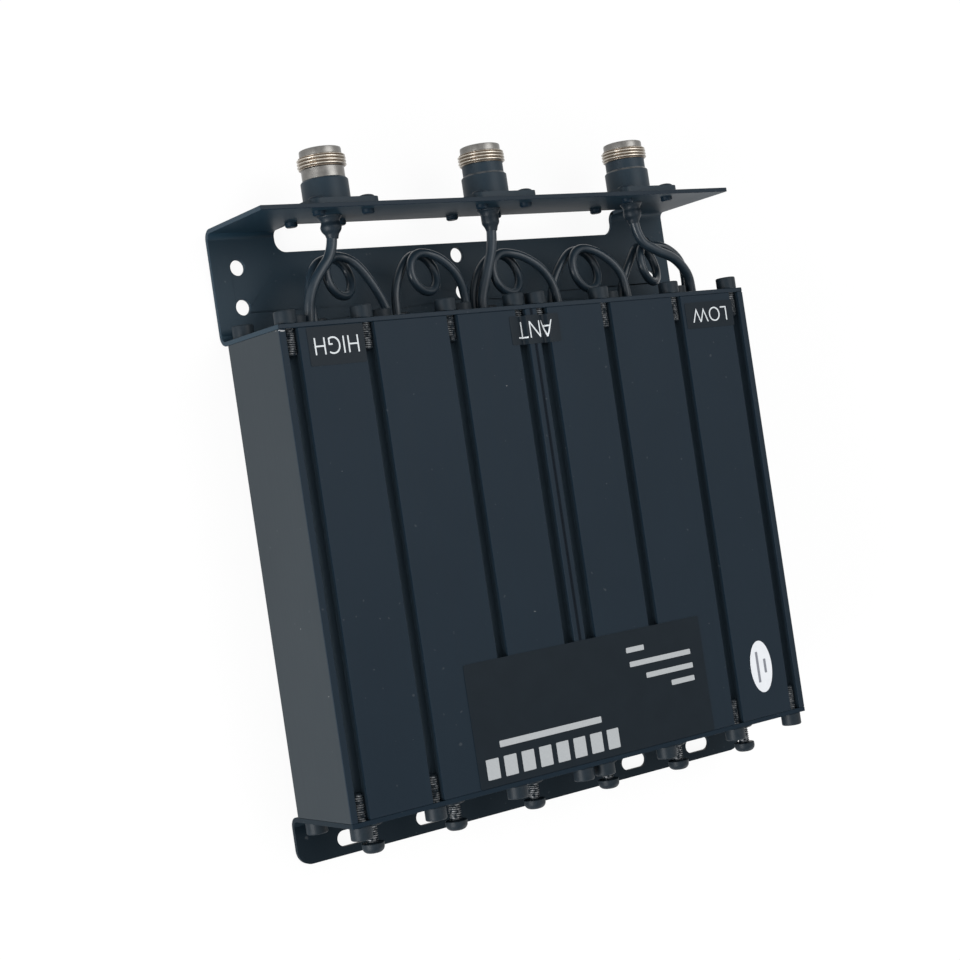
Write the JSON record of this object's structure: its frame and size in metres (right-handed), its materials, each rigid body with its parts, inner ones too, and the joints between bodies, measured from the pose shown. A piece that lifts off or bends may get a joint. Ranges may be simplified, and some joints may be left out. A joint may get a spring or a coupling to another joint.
{
  "type": "duplexer",
  "caption": "Cavity notch duplexer in black extruded aluminium, with threaded coaxial panel sockets on a folded bracket, tuning screws and curled jumper cables.",
  "frame": {"origin": "centre of the top bracket's mounting holes, on the brackets' back plane", "axes": "+X to the right seen from the front, +Y towards the sockets, +Z out of the front face; the part lies on its back"},
  "size_m": [0.192, 0.2271, 0.0399],
  "materials": {
    "block": "fine matt black paint",
    "bracket": "fine matt black paint",
    "cap_screw": "black oxide",
    "resonator_rod": "silver plated",
    "tuning_screw": "dark plated",
    "lock_nut": "dark plated",
    "socket_body": "nickel plated, painted black below the thread",
    "socket_insulator": "satin",
    "socket_contact": "gold plated",
    "rivet": "matt black",
    "boot": "satin shrink tube",
    "port_cable": "satin jacket",
    "jumper_cable": "satin jacket",
    "coupling_wire": "tinned"
  },
  "bodies": {
    "root": {"resonator_block_left": "block", "resonator_block_right": "block", "top_bracket": "bracket", "bottom_bracket": "bracket", "top_cap_screws": "cap_screw", "bottom_cap_screws": "cap_screw", "rod_screws": "cap_screw", "resonator_rod_1": "resonator_rod", "resonator_rod_2": "resonator_rod", "resonator_rod_3": "resonator_rod", "resonator_rod_4": "resonator_rod", "resonator_rod_5": "resonator_rod", "resonator_rod_6": "resonator_rod", "lock_nuts": "lock_nut", "socket_body_high": "socket_body", "socket_body_ant": "socket_body", "socket_body_low": "socket_body", "socket_insulator_high": "socket_insulator", "socket_insulator_ant": "socket_insulator", "socket_insulator_low": "socket_insulator", "socket_contact_high": "socket_contact", "socket_contact_ant": "socket_contact", "socket_contact_low": "socket_contact", "flange_rivets": "rivet", "boot_high": "boot", "boot_ant": "boot", "boot_low": "boot", "port_cable_high": "port_cable", "port_cable_ant": "port_cable", "port_cable_low": "port_cable", "jumper_cable_1": "jumper_cable", "jumper_cable_2": "jumper_cable", "jumper_cable_3": "jumper_cable", "jumper_cable_4": "jumper_cable", "jumper_cable_5": "jumper_cable", "coupling_loops": "coupling_wire"},
    "tuning_screw_1": {"tuning_screw_1": "tuning_screw"},
    "tuning_screw_2": {"tuning_screw_2": "tuning_screw"},
    "tuning_screw_3": {"tuning_screw_3": "tuning_screw"},
    "tuning_screw_4": {"tuning_screw_4": "tuning_screw"},
    "tuning_screw_5": {"tuning_screw_5": "tuning_screw"},
    "tuning_screw_6": {"tuning_screw_6": "tuning_screw"}
  },
  "joints": [
    {"name": "tuning_slide_1", "type": "slide", "parent": "root", "child": "tuning_screw_1", "axis": [0, 1, 0], "range_m": [-0.004, 0.005]},
    {"name": "tuning_slide_2", "type": "slide", "parent": "root", "child": "tuning_screw_2", "axis": [0, 1, 0], "range_m": [-0.004, 0.005]},
    {"name": "tuning_slide_3", "type": "slide", "parent": "root", "child": "tuning_screw_3", "axis": [0, 1, 0], "range_m": [-0.004, 0.005]},
    {"name": "tuning_slide_4", "type": "slide", "parent": "root", "child": "tuning_screw_4", "axis": [0, 1, 0], "range_m": [-0.004, 0.005]},
    {"name": "tuning_slide_5", "type": "slide", "parent": "root", "child": "tuning_screw_5", "axis": [0, 1, 0], "range_m": [-0.004, 0.005]},
    {"name": "tuning_slide_6", "type": "slide", "parent": "root", "child": "tuning_screw_6", "axis": [0, 1, 0], "range_m": [-0.004, 0.005]}
  ]
}
